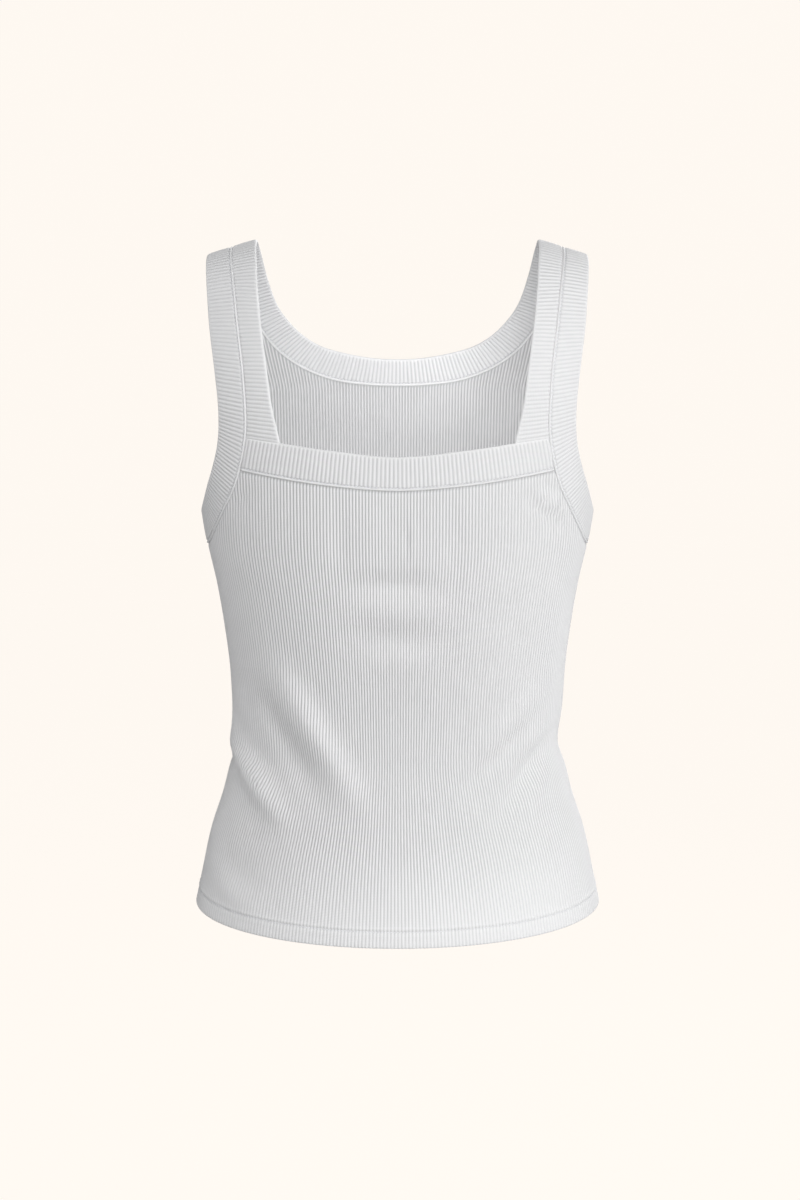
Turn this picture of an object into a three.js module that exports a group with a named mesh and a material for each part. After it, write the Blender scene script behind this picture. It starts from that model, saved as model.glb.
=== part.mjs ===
// A square-backed tank top in rib knit, filled out as it hangs when worn, in millimetres.
// +Z is up, +Y is the way the wearer faces and +X is the wearer's right.
// The origin lies midway between the straps, level with their undersides on the shoulders.
// Inside this file heights are measured up from the hem, and the last lines move the origin.

import * as THREE from "three";

// Driving sizes
const SHOULDER_HEIGHT = 514; // hem to the underside of a strap, at its middle seam
const SHOULDER_REACH = 121.6; // from the centre out to a strap's middle seam, at the top
const SHOULDER_FALL = 0.307; // drop of the shoulder line for each millimetre outwards
const ROLL_BACK = 110; // how far below the shoulder line the back stops curving forward
const ROLL_FRONT = 100; // the same on the front
const PANEL_WALL = 1.2; // the knit in the grooves between ribs
const PANEL_RIB = 0.6; // how far a rib stands out of them
const RIBS_PER_PANEL = 156;
const RIB_CROWDING = 0.1; // ribs sit closer than average at the centre, wider at the sides
const FANNING_HEIGHT = 400; // above this the front's ribs lean outwards with the straps
const FANNING = 0.002; // by this share for each millimetre higher
const HEM_DEPTH = 14; // the edge turned up inside
const HEM_EXTRA = 1; // thickness that the turned edge adds inside
const BAND_WALL = 1.9; // a folded double band, in its grooves
const BAND_RIB = 0.6;
const BAND_RIB_PITCH = 3.4;
const SEAM_GAP = 0.3; // between neighbouring pieces

// Level sections through the body, which the cloth follows. Each is a closed curve whose halves
// are |x/halfWidth|^n + |y/depth|^n = 1, with n the squareness.
const SECTIONS = [
  { name: "hem", height: 0, halfWidth: 159.3, back: 98, front: 95, squareness: 2.0 },
  { name: "hip", height: 30, halfWidth: 152.7, back: 95, front: 95, squareness: 2.02 },
  { name: "high hip", height: 60, halfWidth: 145.8, back: 91, front: 95, squareness: 2.05 },
  { name: "belly", height: 90, halfWidth: 135.8, back: 86, front: 93, squareness: 2.08 },
  { name: "below the waist", height: 112, halfWidth: 130.1, back: 82, front: 91, squareness: 2.1 },
  { name: "waist", height: 134, halfWidth: 123.2, back: 79, front: 89, squareness: 2.12 },
  { name: "above the waist", height: 165, halfWidth: 126.2, back: 79, front: 89, squareness: 2.15 },
  { name: "low ribs", height: 200, halfWidth: 128.0, back: 82, front: 92, squareness: 2.18 },
  { name: "ribs", height: 235, halfWidth: 132.0, back: 86, front: 97, squareness: 2.2 },
  { name: "under the chest", height: 265, halfWidth: 136.6, back: 89, front: 102, squareness: 2.2 },
  { name: "chest", height: 294, halfWidth: 142.6, back: 91, front: 105, squareness: 2.22 },
  { name: "underarm", height: 322, halfWidth: 146.9, back: 92, front: 103, squareness: 2.25 },
  { name: "armpit", height: 350, halfWidth: 152.0, back: 92, front: 97, squareness: 2.28 },
  { name: "shoulder blade", height: 385, halfWidth: 159.0, back: 91, front: 86, squareness: 2.28 },
  { name: "scoop", height: 423, halfWidth: 170.0, back: 88, front: 72, squareness: 2.25 },
  { name: "collarbone", height: 465, halfWidth: 182.0, back: 84, front: 64, squareness: 2.2 },
  { name: "shoulder", height: 520, halfWidth: 194.0, back: 78, front: 58, squareness: 2.2 },
];

// Stations round an armhole, from the underarm up the back, over the shoulder and down the front.
// seam and edge are [distance from the centre, height] of the band's inner and outer line.
const ARMHOLE = [
  { name: "underarm", face: 0, seam: [142.6, 294.0], edge: [146.9, 320.5] },
  { name: "back, low", face: -1, seam: [139.6, 300.0], edge: [145.9, 323.2] },
  { name: "back, turning up", face: -1, seam: [134.0, 313.0], edge: [143.6, 331.0] },
  { name: "back, side", face: -1, seam: [126.5, 330.0], edge: [139.8, 344.5] },
  { name: "back, below the neck band", face: -1, seam: [118.0, 349.0], edge: [134.6, 361.5] },
  { name: "back, at the neck band", face: -1, seam: [112.6, 367.5], edge: [130.6, 378.0] },
  { name: "back, top of the neck band", face: -1, seam: [108.9, 389.0], edge: [129.0, 394.0] },
  { name: "back of the strap", face: -1, seam: [108.7, 410.0], edge: [129.3, 412.5] },
  { name: "back, strap rising", face: -1, seam: [110.3, 435.0], edge: [131.8, 436.5] },
  { name: "back, strap turning", face: -1, seam: [113.3, 459.0], edge: [134.8, 458.5] },
  { name: "back of the shoulder", face: -1, seam: [117.2, 488.0], edge: [137.6, 484.5] },
  { name: "near the top, back", face: -1, seam: [120.2, 505.0], edge: [139.5, 500.9] },
  { name: "top of the shoulder", face: 0, seam: [121.6, 514.0], edge: [140.2, 508.3] },
  { name: "near the top, front", face: 1, seam: [120.2, 504.5], edge: [139.4, 500.3] },
  { name: "front of the shoulder", face: 1, seam: [117.4, 488.0], edge: [137.0, 483.6] },
  { name: "fork", face: 1, seam: [113.9, 469.0], edge: [134.4, 465.0] },
  { name: "front, strap falling", face: 1, seam: [109.8, 443.0], edge: [130.8, 440.5] },
  { name: "front, above the chest", face: 1, seam: [107.2, 416.0], edge: [128.1, 416.0] },
  { name: "front, at the chest", face: 1, seam: [107.6, 391.0], edge: [127.8, 393.5] },
  { name: "front, turning", face: 1, seam: [111.8, 367.5], edge: [130.4, 373.5] },
  { name: "front, side", face: 1, seam: [118.8, 346.0], edge: [135.2, 356.0] },
  { name: "front, turning in", face: 1, seam: [127.2, 327.5], edge: [140.4, 340.5] },
  { name: "front, low", face: 1, seam: [134.2, 312.0], edge: [143.9, 329.0] },
  { name: "front underarm", face: 1, seam: [139.7, 299.8], edge: [146.0, 322.8] },
];

// Stations of the neck binding, from the back corner over the shoulder to the middle of the scoop.
// Its seam is the armhole band's seam as far as the fork, then the front panel's top edge.
const NECK = [
  { name: "under the back neck band", face: -1, seam: [112.6, 367.5], edge: [82.0, 366.5] },
  { name: "top of the back neck band", face: -1, seam: [108.9, 389.0], edge: [84.6, 387.0] },
  { name: "back of the strap", face: -1, seam: [108.7, 410.0], edge: [89.4, 409.5] },
  { name: "back, strap rising", face: -1, seam: [110.3, 435.0], edge: [92.9, 435.5] },
  { name: "back, strap turning", face: -1, seam: [113.3, 459.0], edge: [96.4, 460.5] },
  { name: "back of the shoulder", face: -1, seam: [117.2, 488.0], edge: [99.9, 488.0] },
  { name: "near the top, back", face: -1, seam: [120.2, 505.0], edge: [102.0, 509.0] },
  { name: "top of the shoulder", face: 0, seam: [121.6, 514.0], edge: [103.4, 519.6] },
  { name: "near the top, front", face: 1, seam: [120.2, 504.5], edge: [102.0, 508.0] },
  { name: "front of the shoulder", face: 1, seam: [117.4, 488.0], edge: [99.2, 491.5] },
  { name: "fork", face: 1, seam: [113.9, 469.0], edge: [94.8, 474.5] },
  { name: "below the fork", face: 1, seam: [111.6, 460.5], edge: [91.8, 466.5] },
  { name: "scoop, rounding", face: 1, seam: [104.5, 446.5], edge: [86.0, 456.6] },
  { name: "scoop, shoulder side", face: 1, seam: [91.6, 429.8], edge: [74.5, 443.4] },
  { name: "scoop, low", face: 1, seam: [72.0, 415.3], edge: [59.8, 433.4] },
  { name: "scoop, lower", face: 1, seam: [48.0, 405.6], edge: [41.0, 427.2] },
  { name: "scoop, near the middle", face: 1, seam: [22.0, 401.7], edge: [19.0, 423.0] },
  { name: "middle of the scoop", face: 1, seam: [0.0, 401.0], edge: [0.0, 422.0] },
];

// Half of the back neck band's two edges, from the armhole seam to the centre, at the same places.
const BACK_NECK = [
  { name: "at the armhole seam", low: [113.4, 362.4], top: [108.9, 386.6] },
  { name: "square corner", low: [88.0, 359.2], top: [84.0, 384.0] },
  { name: "halfway", low: [50.0, 354.9], top: [47.5, 379.9] },
  { name: "centre", low: [0.0, 351.8], top: [0.0, 375.8] },
];

// Largest soft folds of the cloth, each along a line from one [x, height] to another.
// rise is how far it stands out at its middle, and a trough's rise is negative.
const FOLDS = [
  { name: "left waist ridge", face: -1, from: [-127, 144], to: [-72, 78], width: 9, rise: 4.0 },
  { name: "left waist trough", face: -1, from: [-126, 122], to: [-86, 68], width: 9, rise: -2.5 },
  { name: "left back trough", face: -1, from: [-110, 198], to: [-40, 100], width: 10, rise: -3.5 },
  { name: "left back ridge", face: -1, from: [-94, 206], to: [-26, 110], width: 10, rise: 1.5 },
  { name: "right waist ridge", face: -1, from: [123, 162], to: [83, 92], width: 9, rise: 2.5 },
  { name: "right back trough", face: -1, from: [114, 164], to: [68, 116], width: 9, rise: -2.0 },
  { name: "right back ridge", face: -1, from: [119, 186], to: [52, 135], width: 9, rise: 2.0 },
  { name: "back hollow", face: -1, from: [-42, 276], to: [38, 276], width: 9, rise: -1.2 },
  { name: "left front trough", face: 1, from: [-116, 172], to: [-50, 114], width: 12, rise: -3.0 },
  { name: "left front ridge", face: 1, from: [-124, 144], to: [-78, 90], width: 10, rise: 3.0 },
  { name: "right front trough", face: 1, from: [119, 180], to: [62, 110], width: 12, rise: -3.5 },
  { name: "right front ridge", face: 1, from: [124, 148], to: [84, 84], width: 10, rise: 3.0 },
];

// Rows of a panel's wall: fixed heights, then shares of the way from the last one to its top edge.
const BACK_ROWS = { heights: [0, 40, 75, 105, 134, 172, 234], shares: [1] };
const FRONT_ROWS = { heights: [0, 50, 95, 134, 195, 282], shares: [0.42, 1] };
const PLAIN_COLUMN = 15; // widest facet round the inside of a panel
const PLAIN_STEP = 7; // length of a facet along the inside of a band
const RIB_SETBACK = 0.1; // a panel's ribs end this far short of a curved seam
const INSIDE_SETBACK = 0.5; // and its coarser inside this far

const HEM_ROW_SHARES = [0, 0.2, 0.4]; // of the lowest row step, where the hem's inside rows lie

// Accuracy of the sampled curves
const RING_STEPS = 240;
const LINE_STEPS = 600;
const PROBE = 0.05; // step of the numeric slopes
const SETTLE_ROUNDS = 6;
const STEEP_ROLL = 0.5; // share of the roll past which the form is measured from front to back
const TINY = 1e-9;

// A column of SECTIONS at any height, on cubic curves through its rows.
function slopeAt(column, row) {
  const below = SECTIONS[Math.max(row - 1, 0)];
  const above = SECTIONS[Math.min(row + 1, SECTIONS.length - 1)];
  return (above[column] - below[column]) / (above.height - below.height);
}

function sectionValue(column, height) {
  const last = SECTIONS.length - 2;
  const found = SECTIONS.findIndex((row) => row.height > height) - 1;
  const k = found < 0 ? (height <= 0 ? 0 : last) : found;
  const span = SECTIONS[k + 1].height - SECTIONS[k].height;
  const s = THREE.MathUtils.clamp((height - SECTIONS[k].height) / span, 0, 1);
  const r = 1 - s;
  const values = (1 + 2 * s) * r * r * SECTIONS[k][column] + s * s * (3 - 2 * s) * SECTIONS[k + 1][column];
  const slopes = s * r * r * slopeAt(column, k) - s * s * r * slopeAt(column, k + 1);
  return values + slopes * span;
}

// How far a height lies below the shoulder line, as a share of the roll over the shoulder:
// 1 on the line itself and 0 where the roll ends.
function rollShare(x, height, face) {
  const line = SHOULDER_HEIGHT - SHOULDER_FALL * (Math.abs(x) - SHOULDER_REACH);
  return Math.max(0, 1 - (line - height) / (face < 0 ? ROLL_BACK : ROLL_FRONT));
}

// Below zero inside the body form, zero on it and above zero outside.
function bodyLevel(point) {
  const face = point.y < 0 ? -1 : 1;
  const n = sectionValue("squareness", point.z);
  const across = Math.abs(point.x) / sectionValue("halfWidth", point.z);
  const depth = sectionValue(face < 0 ? "back" : "front", point.z);
  const roll = rollShare(point.x, point.z, face);
  if (roll > STEEP_ROLL) {
    const chord = Math.pow(Math.max(1 - Math.pow(across, n), TINY), 1 / n);
    return Math.pow(point.y / (depth * chord), 2) + roll * roll - 1;
  }
  return Math.pow(across, n) + Math.pow(Math.abs(point.y) / (depth * Math.sqrt(1 - roll * roll)), n) - 1;
}

function bodySlope(point) {
  const probe = (axis) => {
    const ahead = point.clone();
    const behind = point.clone();
    ahead[axis] += PROBE;
    behind[axis] -= PROBE;
    return (bodyLevel(ahead) - bodyLevel(behind)) / (2 * PROBE);
  };
  return new THREE.Vector3(probe("x"), probe("y"), probe("z"));
}

// Moves a point straight onto the body form.
function settled(point) {
  const place = point.clone();
  for (let round = 0; round < SETTLE_ROUNDS; round++) {
    const slope = bodySlope(place);
    place.addScaledVector(slope, -bodyLevel(place) / slope.lengthSq());
  }
  return place;
}

// The point of the form at a distance from the centre and a height, on its back or front face.
function onBody(face, [x, height]) {
  if (face === 0) return new THREE.Vector3(x, 0, height);
  const n = sectionValue("squareness", height);
  const across = Math.min(Math.abs(x) / sectionValue("halfWidth", height), 1);
  const roll = rollShare(x, height, face);
  const depth = sectionValue(face < 0 ? "back" : "front", height) * Math.sqrt(1 - roll * roll);
  return new THREE.Vector3(x, face * depth * Math.pow(1 - Math.pow(across, n), 1 / n), height);
}

function foldRise(point) {
  const face = point.y < 0 ? -1 : 1;
  let rise = 0;
  for (const fold of FOLDS.filter((each) => each.face === face)) {
    const run = new THREE.Vector2(fold.to[0] - fold.from[0], fold.to[1] - fold.from[1]);
    const off = new THREE.Vector2(point.x - fold.from[0], point.z - fold.from[1]);
    const along = off.dot(run) / run.lengthSq();
    const beside = off.cross(run) / run.length();
    const taper = along > 0 && along < 1 ? Math.sin(Math.PI * along) : 0;
    rise += fold.rise * taper * Math.exp(-Math.pow(beside / fold.width, 2));
  }
  return rise;
}

// A point lifted off the form along its outward direction.
function lifted(point, amount) {
  return point.clone().addScaledVector(bodySlope(point).normalize(), amount);
}

// One face of a level section, from the wearer's left side to the right, measured along its length.
// Above the fanning height it is that height's section again, spread outwards towards the straps.
const ringStore = new Map();
function ring(face, height) {
  const key = `${face} ${height.toFixed(3)}`;
  if (!ringStore.has(key)) {
    const measured = Math.min(height, FANNING_HEIGHT);
    const spread = 1 + FANNING * (height - measured);
    const power = 2 / sectionValue("squareness", measured);
    const points = [];
    const lengths = [0];
    let before = null;
    for (let k = 0; k <= RING_STEPS; k++) {
      const sine = Math.sin(Math.PI * (k / RING_STEPS - 0.5));
      const x = Math.sign(sine) * Math.pow(Math.abs(sine), power) * sectionValue("halfWidth", measured);
      const point = onBody(face, [x, measured]);
      if (before) lengths.push(lengths[k - 1] + point.distanceTo(before));
      points.push(spread > 1 ? onBody(face, [x * spread, height]) : point);
      before = point;
    }
    ringStore.set(key, { points, shares: lengths.map((length) => length / lengths[RING_STEPS]) });
  }
  return ringStore.get(key);
}

// Finds where a rising list passes a value: the index before it and the share of the next step.
function locate(list, value) {
  let low = 0;
  let high = list.length - 1;
  while (high - low > 1) {
    const middle = (low + high) >> 1;
    if (list[middle] <= value) low = middle;
    else high = middle;
  }
  return { low, share: THREE.MathUtils.clamp((value - list[low]) / (list[high] - list[low]), 0, 1) };
}

// Columns run from 0 at the wearer's left side seam to 1 at the right one, crowded at the centre.
const crowded = (column) => column + (RIB_CROWDING / (2 * Math.PI)) * Math.sin(2 * Math.PI * column);

function uncrowded(share) {
  let column = share;
  for (let round = 0; round < SETTLE_ROUNDS; round++) {
    column = share - (crowded(column) - column);
  }
  return column;
}

function onColumn(face, column, height) {
  const { points, shares } = ring(face, height);
  const { low, share } = locate(shares, crowded(column));
  return points[low].clone().lerp(points[low + 1], share);
}

function columnOf(face, point) {
  const { points, shares } = ring(face, point.z);
  const { low, share } = locate(points.map((each) => each.x), point.x);
  return uncrowded(THREE.MathUtils.lerp(shares[low], shares[low + 1], share));
}

// Two matched curves of a band through its stations, sampled at even steps along its middle.
function pairedLines(stations, closed) {
  const curveOf = (line) => {
    const points = stations.map((row) => onBody(row.face, row[line]));
    return new THREE.CatmullRomCurve3(points, closed, "centripetal");
  };
  return { seam: curveOf("seam"), edge: curveOf("edge") };
}

function evenSteps({ seam, edge }, pitch, from, to, closed) {
  const middleAt = (t) => seam.getPoint(t).add(edge.getPoint(t)).multiplyScalar(0.5);
  const ts = [];
  const lengths = [0];
  let last = null;
  for (let k = 0; k <= LINE_STEPS; k++) {
    const t = from + ((to - from) * k) / LINE_STEPS;
    const point = middleAt(t);
    if (last) lengths.push(lengths[k - 1] + point.distanceTo(last));
    ts.push(t);
    last = point;
  }
  const total = lengths[LINE_STEPS];
  const count = 2 * Math.round(total / pitch);
  const steps = [];
  for (let k = 0; k < count + (closed ? 0 : 1); k++) {
    const { low, share } = locate(lengths, (total * k) / count);
    steps.push(THREE.MathUtils.lerp(ts[low], ts[low + 1], share));
  }
  return steps;
}

// A closed wall from an outer and an inner grid of points. A grid is a list of rows, and along and
// up hold where its columns and rows lie, so that grids of different fineness meet at their rims.
function wall(name, outer, inner, closed) {
  const positions = [];
  const triangles = [];
  for (const grid of [outer, inner]) {
    grid.index = grid.rows.map((row) => row.map((point) => positions.push(point) - 1));
  }
  const facet = (a, b, c) => triangles.push(a, b, c);

  const cover = (grid, turned) => {
    const count = grid.index[0].length;
    for (let j = 0; j + 1 < grid.index.length; j++) {
      for (let i = 0; i < (closed ? count : count - 1); i++) {
        const next = (i + 1) % count;
        const [a, b] = [grid.index[j][i], grid.index[j][next]];
        const [d, c] = [grid.index[j + 1][i], grid.index[j + 1][next]];
        if (turned) {
          facet(a, c, b);
          facet(a, d, c);
        } else {
          facet(a, b, c);
          facet(a, c, d);
        }
      }
    }
  };

  const join = (first, firstAt, second, secondAt) => {
    let i = 0;
    let j = 0;
    while (i + 1 < first.length || j + 1 < second.length) {
      const firstNext = i + 1 < first.length ? firstAt[i + 1] : Infinity;
      const secondNext = j + 1 < second.length ? secondAt[j + 1] : Infinity;
      if (firstNext <= secondNext) {
        facet(first[i], second[j], first[i + 1]);
        i++;
      } else {
        facet(first[i], second[j], second[j + 1]);
        j++;
      }
    }
  };

  const around = (list, at) => (closed ? [[...list, list[0]], [...at, 1]] : [list, at]);
  const rim = (grid, row) => around(grid.index[row], grid.along);
  const last = outer.index.length - 1;
  const innerLast = inner.index.length - 1;
  cover(outer, false);
  cover(inner, true);
  join(...rim(outer, 0), ...rim(inner, 0));
  join(...rim(inner, innerLast), ...rim(outer, last));
  if (!closed) {
    const side = (grid, at) => [grid.index.map((row) => row.at(at)), grid.up];
    join(...side(inner, 0), ...side(outer, 0));
    join(...side(outer, -1), ...side(inner, -1));
  }

  const geometry = new THREE.BufferGeometry();
  const flat = positions.flatMap((point) => [point.x, point.y, point.z]);
  geometry.setAttribute("position", new THREE.Float32BufferAttribute(flat, 3));
  geometry.setIndex(facesOut(positions, triangles) ? triangles : triangles.reverse());
  geometry.computeVertexNormals();
  const mesh = new THREE.Mesh(geometry, name.includes("panel") ? panelKnit : bandKnit);
  mesh.name = name;
  return mesh;
}

function facesOut(positions, triangles) {
  let volume = 0;
  for (let k = 0; k < triangles.length; k += 3) {
    const [a, b, c] = [0, 1, 2].map((corner) => positions[triangles[k + corner]]);
    volume += a.dot(b.clone().cross(c));
  }
  return volume > 0;
}

const panelKnit = new THREE.MeshStandardMaterial({ color: 0xe9e9eb, roughness: 0.95, metalness: 0 });
const bandKnit = new THREE.MeshStandardMaterial({ color: 0xeeeeef, roughness: 0.95, metalness: 0 });

const evenShares = (count) => Array.from({ length: count + 1 }, (_, k) => k / count);
const mirrored = (point) => new THREE.Vector3(-point.x, point.y, point.z);

// The seams that bound the panels' top edges, all on the wearer's right and mirrored to the left.
const armholeLines = pairedLines(ARMHOLE, true);
const wholeNeck = [...NECK, ...NECK.slice(0, -1).reverse().map((row) => ({
  face: row.face,
  seam: [-row.seam[0], row.seam[1]],
  edge: [-row.edge[0], row.edge[1]],
}))];
const neckLines = pairedLines(wholeNeck, false);

const wholeBackNeck = [...BACK_NECK, ...BACK_NECK.slice(0, -1).reverse().map((row) => ({
  low: [-row.low[0], row.low[1]],
  top: [-row.top[0], row.top[1]],
}))].map((row) => ({ face: -1, seam: row.low, edge: row.top }));
const backNeckLines = pairedLines(wholeBackNeck, false);

// A panel's top edge on the wearer's right, from the underarm to the centre, with each point's column.
function topEdge(face) {
  const stationShare = (name) => ARMHOLE.findIndex((row) => row.name === name) / ARMHOLE.length;
  const points = [];
  const follow = (lines, from, to) => {
    for (let k = 0; k <= LINE_STEPS; k++) {
      const t = from + ((to - from) * k) / LINE_STEPS;
      const point = settled(lines.seam.getPoint(t));
      points.push({ point, away: point.clone().sub(lines.edge.getPoint(t)).normalize() });
    }
  };
  if (face < 0) {
    const corner = settled(onBody(-1, BACK_NECK[0].low));
    follow(armholeLines, 0, stationShare("back, top of the neck band"));
    points.length = points.findIndex(({ point }) => point.z > corner.z);
    follow(backNeckLines, 0, 0.5);
  } else {
    const forkShare = NECK.findIndex((row) => row.name === "fork") / (2 * NECK.length - 2);
    follow(armholeLines, 1, stationShare("fork"));
    follow(neckLines, forkShare, 0.5);
  }
  return points.map(({ point, away }) => ({ point, away, column: columnOf(face, point) }));
}

// The same edge from the left side seam to the right one, as a column and its point.
function wholeTopEdge(face) {
  const right = topEdge(face).sort((a, b) => a.column - b.column);
  const left = right.map(({ point, away, column }) => ({
    point: mirrored(point),
    away: mirrored(away),
    column: 1 - column,
  })).reverse();
  return [...left, ...right];
}

function topFinder(face) {
  const edge = wholeTopEdge(face);
  const columns = edge.map((each) => each.column);
  const right = edge.filter((each) => each.column > 0.5);
  const peak = right.reduce((a, b) => (b.point.z > a.point.z ? b : a));
  const snap = 0.25 / RIBS_PER_PANEL;
  return (column, setback) => {
    if (Math.abs(column - peak.column) <= snap) return peak.point.clone();
    if (Math.abs(1 - column - peak.column) <= snap) return mirrored(peak.point);
    const { low, share: part } = locate(columns, column);
    return edge[low].point.clone().lerp(edge[low + 1].point, part).addScaledVector(edge[low].away, setback);
  };
}

// A panel: ribs up and down its outer points, a plain inside and a hem turned up inside.
function panel(name, face, { heights, shares }) {
  const topAt = topFinder(face);
  const hemLine = ring(face, 0).points;
  const hemLength = hemLine.reduce((sum, point, k) => (k ? sum + point.distanceTo(hemLine[k - 1]) : 0), 0);
  const sideGap = SEAM_GAP / 2 / hemLength;
  const inset = (column) => THREE.MathUtils.lerp(sideGap, 1 - sideGap, column);
  const lastHeight = heights.at(-1);

  const place = (column, row, setback) => {
    if (row < heights.length) return onColumn(face, inset(column), heights[row]);
    const top = topAt(inset(column), setback);
    const part = shares[row - heights.length];
    if (part === 1) return top;
    return onColumn(face, inset(column), THREE.MathUtils.lerp(lastHeight, top.z, part));
  };

  const rowCount = heights.length + shares.length;
  const grid = (columns, rise, setback) => Array.from({ length: rowCount }, (_, row) => (
    columns.map((column, i) => {
      const point = place(column, row, setback);
      return lifted(point, foldRise(point) + rise(i));
    })));

  const up = evenShares(rowCount - 1);
  const ribColumns = evenShares(2 * RIBS_PER_PANEL);
  const topPoints = ribColumns.map((column) => topAt(inset(column), 0));
  const plainColumns = [0];
  let run = 0;
  for (let k = 1; k < ribColumns.length; k++) {
    run += topPoints[k].distanceTo(topPoints[k - 1]);
    const next = k + 1 < ribColumns.length ? topPoints[k + 1].distanceTo(topPoints[k]) : PLAIN_COLUMN;
    if (run + next > PLAIN_COLUMN) {
      plainColumns.push(ribColumns[k]);
      run = 0;
    }
  }
  const ribbed = (i) => PANEL_WALL + PANEL_RIB * (i % 2);
  const outer = { along: ribColumns, up, rows: grid(ribColumns, ribbed, RIB_SETBACK) };
  const inner = { along: plainColumns, up: [...up], rows: grid(plainColumns, () => 0, INSIDE_SETBACK) };

  const hemRow = (height, rise) => plainColumns.map((column) => {
    const low = onColumn(face, inset(column), 0);
    const high = onColumn(face, inset(column), heights[1]);
    return lifted(low.lerp(high, height / heights[1]), rise);
  });
  const turnedIn = [hemRow(0, -HEM_EXTRA), hemRow(HEM_DEPTH, -HEM_EXTRA)];
  inner.rows.splice(0, 1, ...turnedIn, hemRow(HEM_DEPTH + HEM_EXTRA, 0));
  inner.up.splice(0, 1, ...HEM_ROW_SHARES.map((part) => part * up[1]));
  return wall(name, outer, inner, false);
}

// A folded band between its seam and its free edge, with ribs across it and a plain inside.
// It starts at from and ends at to, as shares of its lines, and stands back from its seam by the gap.
function band(name, lines, { from = 0, to = 1, closed = false, side = 1 }) {
  const steps = evenSteps(lines, BAND_RIB_PITCH, from, to, closed);
  const skip = Math.max(1, Math.round((2 * PLAIN_STEP) / BAND_RIB_PITCH));
  const plain = steps.filter((_, k) => k % skip === 0 || (!closed && k === steps.length - 1));
  const rowsFor = (list, rise) => {
    const rows = [[], []];
    list.forEach((t, k) => {
      const seam = settled(lines.seam.getPoint(t));
      const edge = settled(lines.edge.getPoint(t));
      const start = settled(seam.clone().lerp(edge, SEAM_GAP / seam.distanceTo(edge)));
      [start, edge].forEach((point, row) => {
        const raised = lifted(point, rise(k));
        rows[row].push(side < 0 ? mirrored(raised) : raised);
      });
    });
    return rows;
  };
  const spread = (list) => list.map((t) => (t - from) / (to - from));
  const ribbed = (k) => BAND_WALL + BAND_RIB * (k % 2);
  const outer = { along: spread(steps), up: [0, 1], rows: rowsFor(steps, ribbed) };
  const inner = { along: spread(plain), up: [0, 1], rows: rowsFor(plain, () => 0) };
  return wall(name, outer, inner, closed);
}

// The neck binding's ends stop just above the back neck band, and that band's ends just short of
// the armhole bands, so each end is set back by a share of its line.
function neckEnd() {
  const bandTop = onBody(-1, BACK_NECK[0].top).z + SEAM_GAP;
  const firstSpan = 1 / (2 * NECK.length - 2);
  let t = 0;
  while (neckLines.seam.getPoint(t).z < bandTop) {
    t += firstSpan / LINE_STEPS;
  }
  return t;
}
const neckEndShare = neckEnd();
const backNeckEndShare = (2 * SEAM_GAP) / backNeckLines.seam.getLength();

const tank = new THREE.Group();
tank.add(
  panel("back_panel", -1, BACK_ROWS),
  panel("front_panel", 1, FRONT_ROWS),
  band("neck_binding", neckLines, { from: neckEndShare, to: 1 - neckEndShare }),
  band("back_neck_band", backNeckLines, { from: backNeckEndShare, to: 1 - backNeckEndShare }),
  band("armhole_binding_right", armholeLines, { closed: true }),
  band("armhole_binding_left", armholeLines, { closed: true, side: -1 }),
);

tank.position.z = -SHOULDER_HEIGHT;
tank.updateMatrixWorld(true);

export default tank;
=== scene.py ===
"""A white rib-knit tank top, filled out as it is when worn, over a plain cream floor.

Lengths in the tables are millimetres and heights are measured up from the hem; to_frame() takes
them to the frame, in metres, with its origin between the straps. The camera faces the back.
"""

import math

import bpy
import numpy as np
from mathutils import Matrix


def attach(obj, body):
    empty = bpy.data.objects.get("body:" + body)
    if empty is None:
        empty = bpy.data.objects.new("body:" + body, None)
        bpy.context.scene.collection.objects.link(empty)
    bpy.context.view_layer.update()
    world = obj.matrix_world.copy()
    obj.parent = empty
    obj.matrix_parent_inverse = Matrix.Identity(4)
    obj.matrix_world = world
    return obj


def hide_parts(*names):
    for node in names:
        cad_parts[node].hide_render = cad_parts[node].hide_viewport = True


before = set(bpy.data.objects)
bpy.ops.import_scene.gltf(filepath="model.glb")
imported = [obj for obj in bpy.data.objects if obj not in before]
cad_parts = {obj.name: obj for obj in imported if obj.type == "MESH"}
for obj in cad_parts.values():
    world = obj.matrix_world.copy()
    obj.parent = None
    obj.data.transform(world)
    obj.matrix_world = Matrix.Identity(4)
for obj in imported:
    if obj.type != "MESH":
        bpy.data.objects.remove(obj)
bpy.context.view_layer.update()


# Camera, at the photograph's distance, height and downward tilt
def stand_camera():
    view = bpy.data.cameras.new("camera")
    view.sensor_fit = "VERTICAL"
    view.sensor_height = 36.0
    view.lens = 64.77
    view.clip_end = 50.0
    camera = bpy.data.objects.new("camera", view)
    camera.location = (0.0019, -1.610, 0.149)
    camera.rotation_euler = (math.radians(75.5), 0.0, 0.0)
    bpy.context.scene.collection.objects.link(camera)
    bpy.context.scene.camera = camera


stand_camera()

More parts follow.
